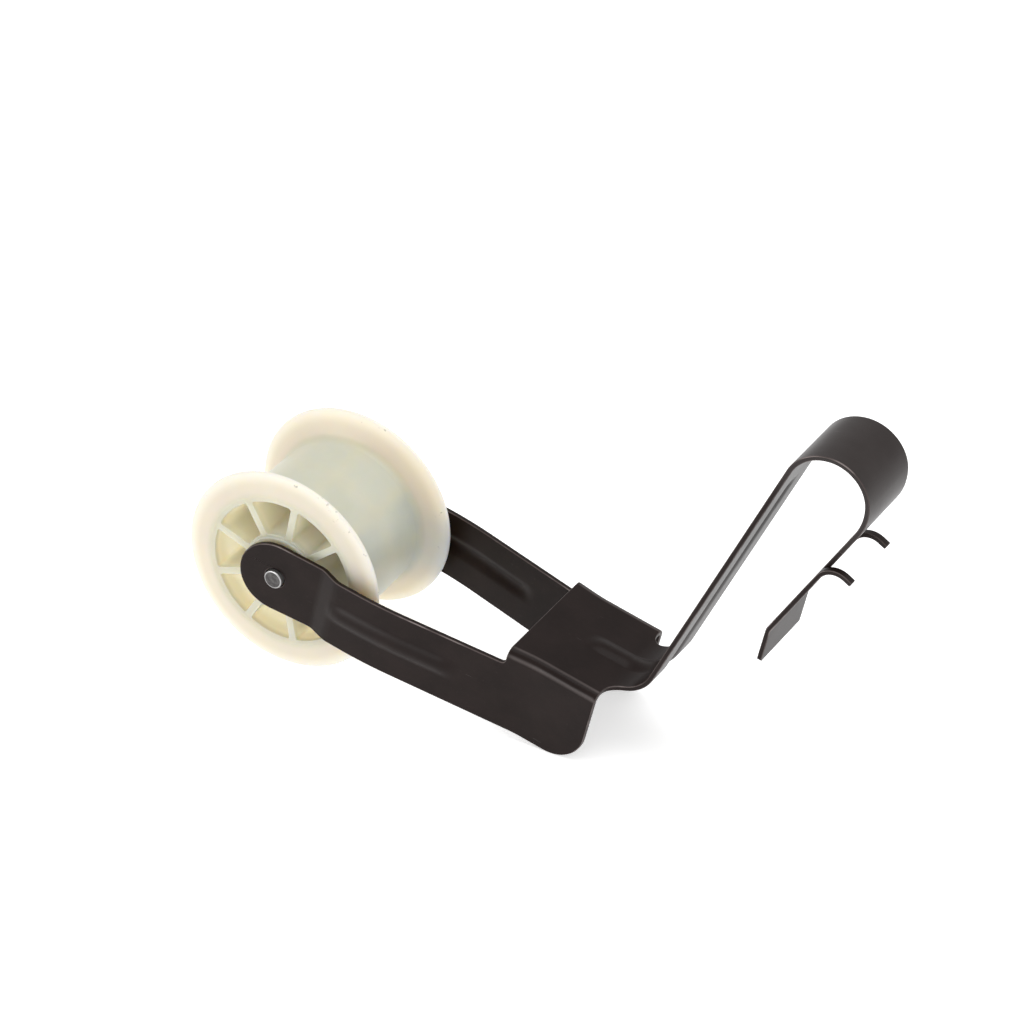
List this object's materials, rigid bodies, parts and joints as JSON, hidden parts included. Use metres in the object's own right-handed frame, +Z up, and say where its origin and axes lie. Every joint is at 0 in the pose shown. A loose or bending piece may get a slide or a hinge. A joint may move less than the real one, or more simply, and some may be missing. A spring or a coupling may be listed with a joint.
{
  "type": "belt tensioner idler",
  "caption": "Belt tensioner idler: spring-steel arm folded from one strip into a hairpin spring and fork, carrying a flanged spoked nylon wheel on a steel pin.",
  "frame": {"origin": "centre of the bounding box's underside, at rest on the wheel's flanges and the two heels of the saddle", "axes": "+X from the wheel towards the hairpin, +Y along the wheel's axle, +Z up"},
  "size_m": [0.2316, 0.0586, 0.1324],
  "materials": {
    "spring_steel": "dark brown-black oxide finish on spring steel, oiled, satin",
    "nylon": "natural moulded nylon, cream, satin",
    "pin_steel": "turned steel, lightly oxidised",
    "bearing_bronze": "oil-filled sintered bronze, dull"
  },
  "bodies": {
    "tail": {"tail_clip": "spring_steel", "hairpin_bend": "spring_steel"},
    "arm": {"fork_arm": "spring_steel", "axle_pin": "pin_steel"},
    "wheel": {"wheel_barrel": "nylon", "wheel_end_near": "nylon", "wheel_end_far": "nylon", "hub_bush_near": "bearing_bronze", "hub_bush_far": "bearing_bronze"}
  },
  "joints": [
    {"name": "spring_flex", "type": "hinge", "parent": "tail", "child": "arm", "pos_m": [0.1023, 0, 0.11889], "axis": [0, 1, 0], "range_deg": [-8, 12], "stiffness_Nm_per_rad": 12, "deforming": ["hairpin_bend"]},
    {"name": "wheel_spin", "type": "hinge", "parent": "arm", "child": "wheel", "pos_m": [-0.0809, 0, 0.03492], "axis": [0, 1, 0], "continuous": true}
  ]
}
